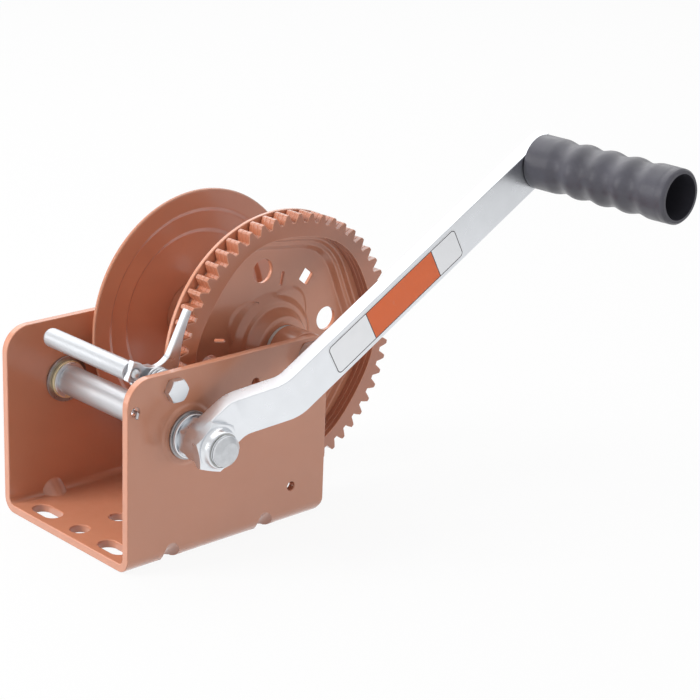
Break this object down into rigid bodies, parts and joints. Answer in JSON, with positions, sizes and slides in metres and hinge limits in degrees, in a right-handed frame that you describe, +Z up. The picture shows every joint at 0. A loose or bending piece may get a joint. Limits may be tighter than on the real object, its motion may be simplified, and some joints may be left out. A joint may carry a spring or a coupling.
{
  "type": "trailer winch",
  "caption": "Hand-cranked geared winch: bent steel frame, dished rope drum with toothed ring, pinion shaft, joggled crank with free-turning grip, sprung ratchet pawl.",
  "frame": {"origin": "middle of the base plate's underside, where the winch stands on its mounting plate", "axes": "+X from the frame's open front, which has the slots, towards the drum; +Y along the shafts, away from the crank; +Z up"},
  "size_m": [0.2625, 0.2564, 0.2007],
  "materials": {
    "paint": "semi-gloss terracotta paint",
    "zinc": "bright zinc plate",
    "yellow_zinc": "yellow passivated zinc plate",
    "spring_steel": "zinc plated wire",
    "bush": "plain grey steel bearing ring",
    "nylon": "natural nylon",
    "grip": "moulded charcoal grip"
  },
  "bodies": {
    "frame": {"frame": "paint", "shaft_bush_near": "bush", "shaft_bush_far": "bush", "axle_sleeve": "zinc", "axle_bolt": "zinc", "axle_washer": "zinc", "axle_nut": "zinc", "axle_spacer_near": "paint", "axle_spacer_far": "zinc", "pawl_bolt": "zinc", "pawl_spacer": "zinc", "pawl_nut": "zinc", "pawl_spring": "spring_steel"},
    "drum": {"drum_core": "paint", "drum_flange_gear_side": "paint", "drum_flange_far": "paint", "drum_bush_near": "nylon", "drum_bush_far": "nylon", "gear_plate_outer": "paint", "gear_plate_middle": "paint", "gear_plate_inner": "paint"},
    "crank": {"drive_shaft": "zinc", "pinion": "zinc", "shaft_spacer": "zinc", "thrust_washer_near": "zinc", "thrust_washer_far": "yellow_zinc", "shaft_ring": "zinc", "hex_spacer": "zinc", "crank_arm": "zinc", "lock_nut": "zinc", "lock_nut_insert": "nylon", "grip_spindle": "zinc"},
    "grip": {"grip": "grip"},
    "pawl": {"pawl_plate": "zinc", "pawl_rod": "zinc"}
  },
  "joints": [
    {"name": "drum_spin", "type": "hinge", "parent": "frame", "child": "drum", "pos_m": [0.05772, 0, 0.09016], "axis": [0, 1, 0], "continuous": true},
    {"name": "crank_spin", "type": "hinge", "parent": "frame", "child": "crank", "pos_m": [-0.024, 0, 0.0675], "axis": [0, 1, 0], "continuous": true},
    {"name": "grip_spin", "type": "hinge", "parent": "crank", "child": "grip", "pos_m": [0.18643, -0.139, 0.18559], "axis": [0, 1, 0], "continuous": true},
    {"name": "pawl_pivot", "type": "hinge", "parent": "frame", "child": "pawl", "pos_m": [-0.0325, 0, 0.093], "axis": [0, -1, 0], "range_deg": [0, 18], "stiffness_Nm_per_rad": 0.25, "springref_deg": -20.05, "deforming": ["pawl_spring"]}
  ],
  "couplings": [
    {"joint": "crank_spin", "follows": "drum_spin", "ratio": -5.4}
  ]
}
